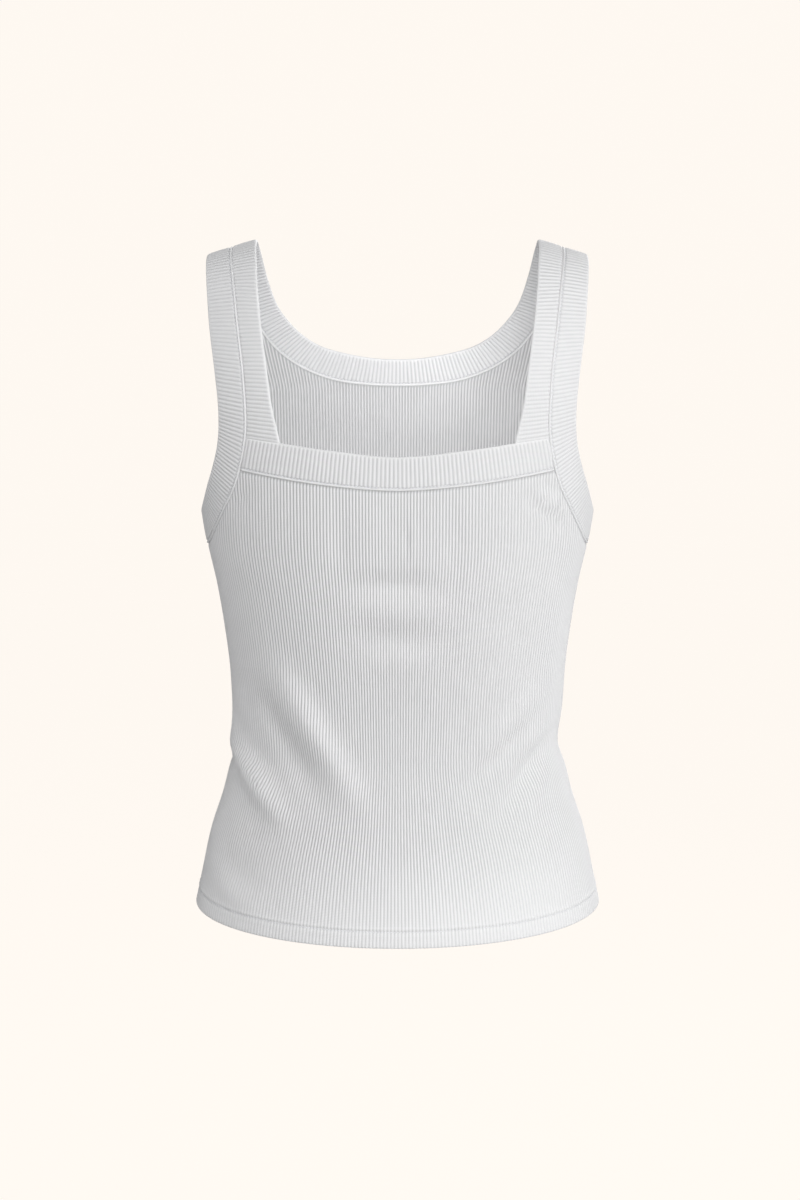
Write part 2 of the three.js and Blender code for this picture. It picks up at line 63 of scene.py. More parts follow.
# Sizes of the cut
SHOULDER_HEIGHT = 514.0  # hem to the underside of a strap
SHOULDER_REACH = 121.6  # centre to the middle of a strap
SHOULDER_FALL = 0.307  # of the shoulder line, for each millimetre outwards
ROLL_BACK = 110.0  # how far down the back the roll over the shoulder reaches
ROLL_FRONT = 100.0
STEEP_ROLL = 0.5  # share of the roll above which the side view shapes the form
UNDERARM = 294.0
UNDERARM_EASE = 12.0  # ribs turn upright within twice this height above the underarm
FANNING_HEIGHT = 400.0
FANNING = 0.002  # spread of the ribs, for each millimetre above the fanning height
RIB_CROWDING = 0.1  # more ribs to the middle, but not at the hem
HEM_SPREAD = 150.0  # height at which the crowding is full
SIDE_TO_SIDE = 416.0  # a panel's width at the hem, as worn
HEM_DEPTH = 14.0
HEM_STITCHES = 13.2
OVERLAP = 0.5  # how far a band's seam edge laps over what it is sewn to
SEAM_STITCHES = 2.0  # from a band's seam edge
TUCK = 1.6  # how far a panel runs in under its bands
TUCKED_END = 2.5  # length of a band's flattened end, under another band
BAND_END = 0.002  # share of the back neck band left out at each end
THREAD_END = 0.004
NECK_END_DROP = 1.2  # from the back neck band's top edge to the neck binding's ends

# Sizes of the knit
BACK_RIBS = 150
FRONT_RIBS = 156
PANEL_WALL = 1.2
PANEL_RIB = 0.85
PANEL_INSIDE_RIB = 0.45
BAND_RIB_PITCH = 3.0
BAND_RIB = 0.6
BAND_INSIDE_RIB = 0.5
STRAP_RIB = 0.48
RIB_SHADE = 0.54  # share of the painted shade colour at the bottom of a groove, outside
INSIDE_SHADE = 0.68
BAND_SHADE = 0.75
STRAP_SHADE = 0.7
RIB_BREADTH = 1.2  # power of the sine, the higher the narrower a rib
COLUMNS_PER_RIB = 5
COLUMNS_PER_BAND_RIB = 6

# Level sections of the body: height, half width, depth to the back, depth to the front, squareness
HEIGHT, HALF_WIDTH, BACK, FRONT, SQUARENESS = range(5)
SECTIONS = np.array(
    [
        (0, 159.3, 98, 95, 2.0),
        (30, 152.7, 95, 95, 2.02),
        (60, 145.8, 91, 95, 2.05),
        (90, 135.8, 86, 93, 2.08),
        (112, 130.1, 82, 91, 2.1),
        (134, 123.2, 79, 89, 2.12),
        (165, 126.2, 79, 89, 2.15),
        (200, 128.0, 82, 92, 2.18),
        (235, 132.0, 86, 97, 2.2),
        (265, 136.6, 89, 102, 2.2),
        (294, 142.6, 91, 105, 2.22),
        (322, 146.9, 92, 103, 2.25),
        (350, 152.0, 92, 97, 2.28),
        (385, 159.0, 91, 86, 2.28),
        (423, 170.0, 88, 72, 2.25),
        (465, 182.0, 84, 64, 2.2),
        (520, 194.0, 78, 58, 2.2),
    ]
)

# Stations round the right armhole: face, seam x, seam height, edge x, edge height
ARMHOLE = np.array(
    [
        (0, 142.6, 294.0, 146.9, 320.5),
        (-1, 139.6, 300.0, 145.9, 323.2),
        (-1, 134.0, 313.0, 143.6, 331.0),
        (-1, 126.5, 330.0, 139.8, 344.5),
        (-1, 118.0, 349.0, 134.6, 361.5),
        (-1, 112.6, 367.5, 130.6, 378.0),
        (-1, 108.9, 389.0, 129.0, 394.0),
        (-1, 108.7, 410.0, 129.3, 412.5),
        (-1, 110.3, 435.0, 131.8, 436.5),
        (-1, 113.3, 459.0, 134.8, 458.5),
        (-1, 117.2, 488.0, 137.6, 484.5),
        (-1, 120.2, 505.0, 139.5, 500.9),
        (0, 121.6, 514.0, 140.2, 508.3),
        (1, 120.2, 504.5, 139.4, 500.3),
        (1, 117.4, 488.0, 137.0, 483.6),
        (1, 113.9, 469.0, 134.4, 465.0),
        (1, 109.8, 443.0, 130.8, 440.5),
        (1, 107.2, 416.0, 128.1, 416.0),
        (1, 107.6, 391.0, 127.8, 393.5),
        (1, 111.8, 367.5, 130.4, 373.5),
        (1, 118.8, 346.0, 135.2, 356.0),
        (1, 127.2, 327.5, 140.4, 340.5),
        (1, 134.2, 312.0, 143.9, 329.0),
        (1, 139.7, 299.8, 146.0, 322.8),
    ]
)
BACK_CORNER_STATION = 6  # just above the back neck band
FORK_STATION = 15  # where the two bindings of a strap part, at the front

# Stations of half the neck binding, from the back corner to the middle of the scoop
NECK = np.array(
    [
        (-1, 112.6, 367.5, 82.0, 366.5),
        (-1, 108.9, 389.0, 84.6, 387.0),
        (-1, 108.7, 410.0, 89.4, 409.5),
        (-1, 110.3, 435.0, 92.9, 435.5),
        (-1, 113.3, 459.0, 96.4, 460.5),
        (-1, 117.2, 488.0, 99.9, 488.0),
        (-1, 120.2, 505.0, 102.0, 509.0),
        (0, 121.6, 514.0, 103.4, 519.6),
        (1, 120.2, 504.5, 102.0, 508.0),
        (1, 117.4, 488.0, 99.2, 491.5),
        (1, 113.9, 469.0, 94.8, 474.5),
        (1, 111.6, 460.5, 91.8, 466.5),
        (1, 104.5, 446.5, 86.0, 456.6),
        (1, 91.6, 429.8, 74.5, 443.4),
        (1, 72.0, 415.3, 59.8, 433.4),
        (1, 48.0, 405.6, 41.0, 427.2),
        (1, 22.0, 401.7, 19.0, 423.0),
        (1, 0.0, 401.0, 0.0, 422.0),
    ]
)
NECK_FORK_STATION = 10  # the same place on the neck binding
NECK_SPANS = 2 * len(NECK) - 2

# Stations of half the back neck band, from the armhole seam to the centre, seam edge first
BACK_NECK = np.array(
    [
        (-1, 113.4, 362.4, 108.9, 386.6),
        (-1, 88.0, 359.2, 84.0, 384.0),
        (-1, 50.0, 354.9, 47.5, 379.9),
        (-1, 0.0, 351.8, 0.0, 375.8),
    ]
)

# Folds of the panels: face, from x and height, to x and height, bend, width on the right hand of
# its run, width on the left hand, rise
FOLDS = np.array(
    [
        (-1, -98, 226, -18, 92, 0, 16, 9, 7.4),
        (-1, -119, 211, -51, 96, 0, 7, 10, -2.4),
        (-1, -139, 174, -75, 81, 5.5, 10, 7.5, 7.8),
        (-1, -123, 204, -99, 146, 0, 6, 6, -1.0),
        (-1, 128, 206, 18, 104, 0, 9, 6, 3.6),
        (-1, 124, 172, 60, 112, 0, 8, 6, 3.2),
        (-1, 118, 160, 66, 74, 0, 6, 6, -3.2),
        (-1, 122, 140, 96, 86, 0, 7, 7, 1.6),
        (-1, 94, 352, 128, 328, 3, 3.2, 3.2, 2.2),
        (-1, 92, 345, 124, 319, 3, 3.2, 3.2, -1.8),
        (-1, 98, 360, 122, 346, 0, 3, 3, -1.4),
        (-1, -126, 330, -100, 352, 0, 4, 4, -1.2),
        (-1, 7, 303, 7, 325, 0, 1.8, 1.8, -0.9),
        (-1, 11, 297, 11, 333, 0, 3, 3, 0.7),
        (-1, -50, 281, 48, 280, 0, 9, 5.5, -4.6),
        (-1, -42, 262, 40, 261, 0, 8, 8, 1.4),
        (-1, -46, 239, 48, 237, 0, 10, 9, -2.8),
        (-1, -38, 221, 40, 220, 0, 8, 8, 1.2),
        (-1, -42, 352, -40, 280, 0, 7, 7, -1.1),
        (-1, -18, 352, -18, 292, 0, 9, 9, 0.8),
        (-1, 41, 352, 41, 262, 0, 8, 8, -1.1),
        (-1, -150, 42, -96, 18, 4, 9, 9, 1.8),
        (-1, -140, 62, -100, 40, 4, 9, 9, -1.4),
        (-1, 60, 14, 148, 40, -4, 12, 12, 1.0),
        (-1, -40, 60, 44, 40, 6, 18, 18, 0.9),
        (1, 98, 222, 26, 104, 0, 7, 14, 4.8),
        (1, -100, 214, -34, 110, 0, 14, 7, 4.2),
        (1, 126, 158, 70, 80, -5, 5.5, 7, 3.8),
        (1, -127, 150, -72, 82, 5, 7, 5.5, 3.6),
        (1, 114, 200, 78, 112, 0, 5, 8, 1.8),
        (1, -118, 190, -84, 120, 0, 6, 5, -1.8),
        (1, -118, 352, -96, 372, 0, 4, 4, -1.3),
        (1, 114, 344, 96, 368, 0, 4, 4, -1.3),
        (1, -52, 300, -50, 262, 0, 9, 9, -0.9),
        (1, -60, 236, 52, 230, 6, 11, 10, -1.3),
        (1, -48, 214, 44, 210, 6, 10, 10, 0.8),
        (1, 60, 16, 144, 44, -4, 12, 12, 1.2),
        (1, -144, 40, -70, 14, 4, 12, 12, 1.3),
    ]
)

FOLD_ENDS = 1.3  # power of the half sine along a fold, the higher the softer its ends

# Fineness of what is worked out
RING_STEPS = 240
LEVEL_STEP = 4.0
LEVELS = np.arange(0.0, 524.0, LEVEL_STEP)
LINE_STEPS = 1500
PROBE = 0.05  # distance on both sides of a point over which the form's slope is taken
SETTLE_ROUNDS = 5
TINY = 1e-9


# The body form that the cloth follows
def section(column, height):
    """One SECTIONS column at any height, by cubic Hermite curves through its rows."""
    rows, values = SECTIONS[:, HEIGHT], SECTIONS[:, column]
    index = np.arange(len(rows))
    below, above = np.maximum(index - 1, 0), np.minimum(index + 1, len(rows) - 1)
    slopes = (values[above] - values[below]) / (rows[above] - rows[below])
    k = np.clip(np.searchsorted(rows, height, side="right") - 1, 0, len(rows) - 2)
    span = rows[k + 1] - rows[k]
    s = np.clip((height - rows[k]) / span, 0, 1)
    r = 1 - s
    eased = (1 + 2 * s) * r * r * values[k] + s * s * (3 - 2 * s) * values[k + 1]
    return eased + (s * r * r * slopes[k] - s * s * r * slopes[k + 1]) * span


def roll_share(x, height, behind):
    """1 on the shoulder line, falling to 0 where the roll over the shoulder ends."""
    line = SHOULDER_HEIGHT - SHOULDER_FALL * (np.abs(x) - SHOULDER_REACH)
    return np.maximum(0, 1 - (line - height) / np.where(behind, ROLL_BACK, ROLL_FRONT))


def form_level(p):
    """(|x|/a)^n + (|y|/(b k))^n - 1, with k the shoulder's roll, and its side view near the top."""
    x, y, height = p[..., 0], p[..., 1], p[..., 2]
    behind = y < 0
    n = section(SQUARENESS, height)
    across = np.abs(x) / section(HALF_WIDTH, height)
    depth = np.where(behind, section(BACK, height), section(FRONT, height))
    roll = roll_share(x, height, behind)
    chord = np.maximum(1 - across**n, TINY) ** (1 / n)
    rolled = np.sqrt(np.maximum(1 - roll * roll, TINY))
    side_view = (y / (depth * chord)) ** 2 + roll * roll - 1
    plan_view = across**n + (np.abs(y) / (depth * rolled)) ** n - 1
    return np.where(roll > STEEP_ROLL, side_view, plan_view)


def form_slope(p):
    """The form level's change along x, y and height, from its values on both sides of a point."""
    steps = np.eye(3) * PROBE
    return np.stack([form_level(p + step) - form_level(p - step) for step in steps], -1) / (2 * PROBE)


def outward(p):
    """The way straight out of the form, one millimetre long: its slope over the slope's length."""
    slope = form_slope(p)
    return slope / np.linalg.norm(slope, axis=-1, keepdims=True)


def settled(p):
    """Points moved onto the form along its slope, by Newton's steps."""
    for _ in range(SETTLE_ROUNDS):
        slope = form_slope(p)
        p = p - slope * (form_level(p) / np.maximum((slope * slope).sum(-1), TINY))[..., None]
    return p


def on_form(face, x, height):
    """The form's point at a distance from the centre and a height, on its back or front."""
    n = section(SQUARENESS, height)
    across = np.minimum(np.abs(x) / section(HALF_WIDTH, height), 1)
    roll = roll_share(x, height, face < 0)
    depth = np.where(face < 0, section(BACK, height), section(FRONT, height))
    y = face * depth * np.sqrt(np.maximum(1 - roll * roll, 0)) * (1 - across**n) ** (1 / n)
    return np.stack(np.broadcast_arrays(x, y, height), -1)


def to_frame(points):
    """Metres from the shoulders, out of millimetres from the hem."""
    return (points - np.array([0, 0, SHOULDER_HEIGHT])) / 1000


# Soft steps, bells and rounded edges
def smooth(low, high, value):
    """0 up to low, 1 from high on, and an even S between them."""
    s = np.clip((value - low) / (high - low), 0, 1)
    return s * s * (3 - 2 * s)


def bell(distance, height, width):
    """A bell curve with its height in the middle and 37% of it at its width on both sides."""
    return height * np.exp(-((distance / width) ** 2))


def rounded(distance, radius):
    """A quarter circle: 0 at an edge, rising to 1 at the radius."""
    return np.sqrt(np.maximum(1 - (1 - np.clip(distance / radius, 0, 1)) ** 2, 0))


# Curves through the stations of a band
def through(stations, closed, t):
    """Points at t from 0 to 1 along a centripetal Catmull-Rom curve through the stations."""
    count = len(stations)
    spans = count if closed else count - 1
    k = np.minimum((t * spans).astype(int), spans - 1)
    s = (t * spans - k)[:, None]
    if closed:
        p0, p1, p2, p3 = (stations[(k + j) % count] for j in (-1, 0, 1, 2))
    else:
        first, last = 2 * stations[0] - stations[1], 2 * stations[-1] - stations[-2]
        longer = np.vstack([first, stations, last])
        p0, p1, p2, p3 = (longer[k + j] for j in range(4))
    d0, d1, d2 = (
        np.sqrt(np.linalg.norm(b - a, axis=1, keepdims=True)) for a, b in ((p0, p1), (p1, p2), (p2, p3))
    )
    leaving = ((p1 - p0) / d0 - (p2 - p0) / (d0 + d1) + (p2 - p1) / d1) * d1
    arriving = ((p2 - p1) / d1 - (p3 - p1) / (d1 + d2) + (p3 - p2) / d2) * d1
    cubic = 2 * p1 - 2 * p2 + leaving + arriving
    square = -3 * p1 + 3 * p2 - 2 * leaving - arriving
    return p1 + s * (leaving + s * (square + s * cubic))


class BandLine:
    """The seam line and the free edge line of a band, matched station by station."""

    def __init__(self, stations, closed):
        face = stations[:, 0]
        self.closed = closed
        self.seam_stations = on_form(face, stations[:, 1], stations[:, 2])
        self.edge_stations = on_form(face, stations[:, 3], stations[:, 4])

    def seam(self, t):
        return through(self.seam_stations, self.closed, t)

    def edge(self, t):
        return through(self.edge_stations, self.closed, t)

    def even(self, start, end):
        """t and the distance so far, sampled closely along the band's middle."""
        t = np.linspace(start, end, LINE_STEPS)
        middle = (self.seam(t) + self.edge(t)) / 2
        steps = np.linalg.norm(np.diff(middle, axis=0), axis=1)
        return t, np.concatenate([[0], np.cumsum(steps)])

    def skin(self, t, across, lift):
        """Points at a share of the way from seam to edge, lifted off the form."""
        seam, edge = self.seam(t)[:, None, :], self.edge(t)[:, None, :]
        base = settled(seam + (edge - seam) * across[..., None])
        return base + outward(base) * lift[..., None]

    def width(self, t):
        """Straight distance from the seam line to the edge line."""
        return np.linalg.norm(self.seam(t) - self.edge(t), axis=1)


def whole(half):
    """Half a band's stations with their mirror image after them."""
    return np.vstack([half, half[-2::-1] * np.array([1, -1, 1, -1, 1])])


armhole_line = BandLine(ARMHOLE, True)
neck_line = BandLine(whole(NECK), False)
back_neck_line = BandLine(whole(BACK_NECK), False)


# Materials
class Value:
    """A shader value that takes part in ordinary arithmetic, one Math node a step."""

    def __init__(self, finish, socket):
        self.finish = finish
        self.socket = socket

    def other(self, output):
        """Another output of the same node."""
        return Value(self.finish, self.socket.node.outputs[output])

    def math(self, operation, *terms):
        return self.finish.node("ShaderNodeMath", {"operation": operation}, dict(enumerate(terms)))

    def __add__(self, other):
        return self.math("ADD", self, other)

    def __radd__(self, other):
        return self.math("ADD", other, self)

    def __sub__(self, other):
        return self.math("SUBTRACT", self, other)

    def __rsub__(self, other):
        return self.math("SUBTRACT", other, self)

    def __mul__(self, other):
        return self.math("MULTIPLY", self, other)

    def __rmul__(self, other):
        return self.math("MULTIPLY", other, self)

    def wave(self):
        return self.math("SINE", self)

    def fraction(self):
        return self.math("FRACT", self)

    def size(self):
        return self.math("ABSOLUTE", self)


class Finish:
    """A material and the one way in which its nodes are added."""

    def __init__(self, name):
        self.material = bpy.data.materials.new(name)
        self.material.use_nodes = True
        self.tree = self.material.node_tree
        self.shader = self.tree.nodes["Principled BSDF"]

    def node(self, kind, settings, inputs, output=0):
        made = self.tree.nodes.new(kind)
        for name, value in settings.items():
            setattr(made, name, value)
        self.feed(made, inputs)
        return Value(self, made.outputs[output])

    def feed(self, made, inputs):
        for name, value in inputs.items():
            if isinstance(value, Value):
                self.tree.links.new(value.socket, made.inputs[name])
            else:
                made.inputs[name].default_value = value


LOOP_TURN = 5.2  # of the knit loops' wave, in radians for each millimetre along a rib
LOOP_SLANT = 6.0  # and for each rib across it, so that the loops make small arrowheads
PAINTED_SHADE_SPREAD, PAINTED_SHADE_LEAST = 0.3, 0.85  # how unevenly the painted shade is dark
FUZZ_SHARE = 0.5
ROUGH_SPREAD, ROUGH_LEAST = 0.1, 0.86
THREAD_ROUGH_LEAST = 0.6


def knit_finish(name, crest, painted_shade):
    """Cotton rib knit: crest colour, painted shade by depth, knit loops and fuzz as a fine bump."""
    finish = Finish(name)
    place = finish.node("ShaderNodeUVMap", {"uv_map": "knit"}, {})
    ribs = finish.node("ShaderNodeSeparateXYZ", {}, {0: place})
    along = ribs.other(1)
    # depth is each place's share of painted shade, which darkens the crest colour towards the shade
    # colour
    depth = finish.node("ShaderNodeAttribute", {"attribute_name": "painted_shade"}, {}, 2)
    where = finish.node("ShaderNodeTexCoord", {}, {}, 3)
    cloudy = finish.node("ShaderNodeTexNoise", {}, {"Vector": where, "Scale": 38.0, "Detail": 2.0})
    fuzzy = finish.node("ShaderNodeTexNoise", {}, {"Vector": where, "Scale": 900.0, "Detail": 3.0})
    from_crest = (ribs.fraction() - 0.5).size()
    loops = ((along * LOOP_TURN + from_crest * LOOP_SLANT).wave() + 1.0) * 0.5
    colour = finish.node(
        "ShaderNodeMix",
        {"data_type": "RGBA"},
        {0: depth * (cloudy * PAINTED_SHADE_SPREAD + PAINTED_SHADE_LEAST), 6: crest, 7: painted_shade},
        2,
    )
    relief = loops * (1.0 - depth) * (1 - FUZZ_SHARE) + fuzzy * FUZZ_SHARE
    bump = finish.node("ShaderNodeBump", {}, {"Strength": 0.35, "Distance": 0.0003, "Height": relief})
    finish.feed(
        finish.shader,
        {
            "Base Color": colour,
            "Roughness": fuzzy * ROUGH_SPREAD + ROUGH_LEAST,
            "Normal": bump,
            "Sheen Weight": 0.1,
            "Sheen Roughness": 0.5,
            "Specular IOR Level": 0.2,
        },
    )
    return finish.material


def thread_finish():
    """Sewing thread: plain white with a slight twist showing as bump."""
    finish = Finish("white sewing thread")
    where = finish.node("ShaderNodeTexCoord", {}, {}, 3)
    twist = finish.node("ShaderNodeTexNoise", {}, {"Vector": where, "Scale": 2600.0, "Detail": 1.0})
    bump = finish.node("ShaderNodeBump", {}, {"Strength": 0.3, "Distance": 0.0001, "Height": twist})
    rough = twist * ROUGH_SPREAD + THREAD_ROUGH_LEAST
    finish.feed(
        finish.shader, {"Base Color": (0.84, 0.85, 0.88, 1), "Roughness": rough, "Normal": bump}
    )
    return finish.material


def paper_finish():
    """Cream paper that glows evenly by itself, so that the stage looks the same from all round."""
    finish = Finish("cream paper")
    finish.feed(
        finish.shader,
        {
            "Base Color": (0.03, 0.029, 0.027, 1),
            "Roughness": 1.0,
            "Specular IOR Level": 0.0,
            "Emission Color": (1.0, 0.947, 0.888, 1),
            "Emission Strength": 0.985,
        },
    )
    return finish.material


# The second colour of each knit is its painted shade colour, for grooves, creases and seams
panel_knit = knit_finish("white rib knit", (0.84, 0.84, 0.845, 1), (0.3, 0.3, 0.31, 1))
band_knit = knit_finish("white band knit", (0.82, 0.82, 0.825, 1), (0.59, 0.59, 0.6, 1))
thread = thread_finish()


# Meshes
def faces_mesh(name, points, quads, material):
    """A smooth mesh of quads, turned so that the volume inside it is positive."""
    a, b, c, d = (points[quads[:, k]] for k in range(4))
    volume = (a * np.cross(b, c)).sum() + (a * np.cross(c, d)).sum()
    if volume < 0:
        quads = quads[:, ::-1]
    mesh = bpy.data.meshes.new(name)
    mesh.vertices.add(len(points))
    mesh.vertices.foreach_set("co", points.astype("f4").ravel())
    mesh.loops.add(quads.size)
    mesh.loops.foreach_set("vertex_index", quads.astype("i4").ravel())
    mesh.polygons.add(len(quads))
    mesh.polygons.foreach_set("loop_start", np.arange(0, quads.size, 4, dtype="i4"))
    mesh.polygons.foreach_set("use_smooth", np.ones(len(quads), dtype=bool))
    mesh.materials.append(material)
    mesh.update(calc_edges=True)
    piece = bpy.data.objects.new(name, mesh)
    bpy.context.scene.collection.objects.link(piece)
    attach(piece, "root")
    return piece, quads


def knit_piece(name, points, closed, ribs, along, painted_shade, material):
    """Loops of points side by side, joined into one closed skin, with its knit coordinates and painted
    shade.

    points is [column, place round the loop, xyz]; the two halves of a loop are the cloth's faces.
    """
    columns, places, _ = points.shape
    i = np.arange(columns if closed else columns - 1)[:, None]
    j = np.arange(places)[None, :]
    beside, after = (i + 1) % columns, (j + 1) % places
    corners = [i * places + j, beside * places + j, beside * places + after, i * places + after]
    quads = np.stack(np.broadcast_arrays(*corners), -1).reshape(-1, 4)
    if not closed:
        j = np.arange(places // 2 - 1)
        cap = np.stack([j, j + 1, places - 2 - j, places - 1 - j], -1)
        quads = np.vstack([quads, cap, cap[:, ::-1] + (columns - 1) * places])
    flat = to_frame(points.reshape(-1, 3))
    piece, quads = faces_mesh(name, flat, quads, material)
    count = np.repeat(ribs, places)[quads]
    if closed:
        # In the last column's faces the first column's ribs count on
        whole_round = round(ribs[-1] + ribs[1] - ribs[0])
        count = count + (count < count.max(1, keepdims=True) - ribs[-1] / 2) * whole_round
    knit = np.stack([count, along.reshape(-1)[quads]], -1)
    piece.data.uv_layers.new(name="knit").data.foreach_set("uv", knit.astype("f4").ravel())
    # Each point's share of painted shade, darker in grooves, creases and seams
    shade = piece.data.attributes.new("painted_shade", "FLOAT", "POINT")
    shade.data.foreach_set("value", painted_shade.astype("f4").ravel())
    return piece


def rib_crest(ribs):
    """0 in the hollow between two ribs and 1 on a rib: a sine's size to a power."""
    return np.abs(np.sin(np.pi * ribs)) ** RIB_BREADTH


# Panels: rows of points up from the hem and down from the top edge
HEM_ROWS = np.array([0, 0.3, 0.9, 1.8, 5, 9, 12.2, 13.2, 14.2, 15.0, 16.0, 18])
TOP_ROWS = np.array([6, 3, 1.2, 0])
EVEN_ROWS = 46

# Relief of a panel: each hollow's depth or ridge's height, and its half width
SIDE_PINCH = (0.7, 1.3)
PINCH_INSIDE = 0.3  # share of it on the inside
TOP_PINCH = (0.75, 1.4)
HEM_GROOVE = (0.5, 0.8)
HEM_RIDGE = (0.45, 0.8)
HEM_RIDGE_HEIGHT = HEM_STITCHES + 1.9
HEM_RADIUS = 1.6
HEM_LAYER = 1.1
RIBS_GROW = (10, 90)  # heights between which the ribs rise from half to all of their height
FOLDS_BELOW_TOP = (0, 14)
FOLDS_FROM_SIDE = (1, 16)
TUCKED_OUTSIDE, TUCKED_INSIDE = 1.0, 0.4  # off the form, at the edge under the bands

# Painted shade in a panel's creases: its share of the dark shade colour, and its half width
SIDE_CREASE = (0.6, 0.9)
TOP_CREASE = (0.8, 1.4)
TOP_INSIDE_CREASE = (0.75, 1.9)
HEM_CREASE = (0.12, 0.6)
SHADE_GROWS = (8, 90)
SHADE_AT_HEM = 0.35


def rib_level(height):
    """The level whose line the ribs follow: their own as far as the underarm, then soon just one.

    So above the underarm they go straight up, and the armhole's edge cuts them off.
    """
    above = np.clip((height - UNDERARM) / (2 * UNDERARM_EASE), 0, 1)
    return np.minimum(height, UNDERARM) + UNDERARM_EASE * (1 - (1 - above) ** 2)


def level_x(swing, level):
    """x on a level's line for a swing from -0.5 to 0.5 between the side seams."""
    sine = np.sin(np.pi * swing)
    share = np.sign(sine) * np.abs(sine) ** (2 / section(SQUARENESS, level))
    return share * section(HALF_WIDTH, level)


def swing_x(swing, height):
    """x of a rib at a height; the ribs spread a little above the fanning height."""
    spread = 1 + FANNING * np.maximum(height - FANNING_HEIGHT, 0)
    return level_x(swing, rib_level(height)) * spread


def column_table(face, column):
    """Swing of each column at each level: shares of the level's line across one face.

    The shares are even at the hem and crowd to the middle above it.
    """
    level = rib_level(LEVELS[:, None])
    swing = np.linspace(-0.5, 0.5, RING_STEPS + 1)
    line = on_form(face, level_x(swing, level), level)
    steps = np.linalg.norm(np.diff(line, axis=1), axis=2)
    shares = np.hstack([np.zeros((len(LEVELS), 1)), np.cumsum(steps, 1)])
    shares /= shares[:, -1:]
    crowding = RIB_CROWDING * smooth(0, HEM_SPREAD, level) / (2 * np.pi)
    crowded = column + crowding * np.sin(2 * np.pi * column)
    return np.array([np.interp(place, share, swing) for place, share in zip(crowded, shares)])


def column_x(table, height, column):
    """x of a column at a height, with its swing taken between the table's two nearest levels."""
    place = np.clip(height / LEVEL_STEP, 0, len(LEVELS) - 1 - TINY)
    low = place.astype(int)
    part = place - low
    return swing_x(table[low, column] * (1 - part) + table[low + 1, column] * part, height)


def top_edge(face, column_at, table):
    """A panel's top edge at each column, and the way from there into the band above it.

    Both come from the seam lines of the bands, on the right half, and are mirrored to the left.
    """
    if face < 0:
        corner = on_form(-1, BACK_NECK[0, 1], BACK_NECK[0, 2])
        rising = np.linspace(0, BACK_CORNER_STATION / len(ARMHOLE), LINE_STEPS)
        rising = rising[armhole_line.seam(rising)[:, 2] < corner[2]]
        runs = [(armhole_line, rising), (back_neck_line, np.linspace(0, 0.5, LINE_STEPS))]
    else:
        rising = np.linspace(1, FORK_STATION / len(ARMHOLE), LINE_STEPS) - TINY
        round_neck = np.linspace(NECK_FORK_STATION / NECK_SPANS, 0.5, LINE_STEPS)
        runs = [(armhole_line, rising), (neck_line, round_neck)]
    seam = np.vstack([settled(line.seam(t)) for line, t in runs])
    edge = np.vstack([line.edge(t) for line, t in runs])
    away = (edge - seam) / np.linalg.norm(edge - seam, axis=1, keepdims=True)
    rows = column_x(table, seam[:, 2:3], np.arange(len(column_at))[None, :])
    left = np.clip((rows < seam[:, :1]).sum(1) - 1, 0, len(column_at) - 2)
    here, beyond = rows[np.arange(len(rows)), left], rows[np.arange(len(rows)), left + 1]
    column = column_at[left] + (seam[:, 0] - here) / np.maximum(beyond - here, TINY) * column_at[1]
    order = np.argsort(column)
    column, found = column[order], np.hstack([seam, away])[order]
    right = np.maximum(column_at, 1 - column_at)
    whole_edge = np.stack([np.interp(right, column, found[:, k]) for k in range(6)], 1)
    whole_edge[column_at < 0.5, 0] *= -1
    whole_edge[column_at < 0.5, 3] *= -1
    return whole_edge[:, :3], whole_edge[:, 3:]


def fold_rise(face, x, height):
    """Sum of the folds: rise, times a half sine along the fold, times a bell with two widths."""
    total = np.zeros_like(x)
    for x1, h1, x2, h2, bend, right, left, rise in FOLDS[FOLDS[:, 0] == face, 1:]:
        run = np.array([x2 - x1, h2 - h1])
        length = np.hypot(*run)
        along = ((x - x1) * run[0] + (height - h1) * run[1]) / length**2
        arch = np.sin(np.pi * np.clip(along, 0, 1))
        beside = ((x - x1) * run[1] - (height - h1) * run[0]) / length - bend * arch
        total += bell(beside, rise * arch**FOLD_ENDS, np.where(beside > 0, right, left))
    return total


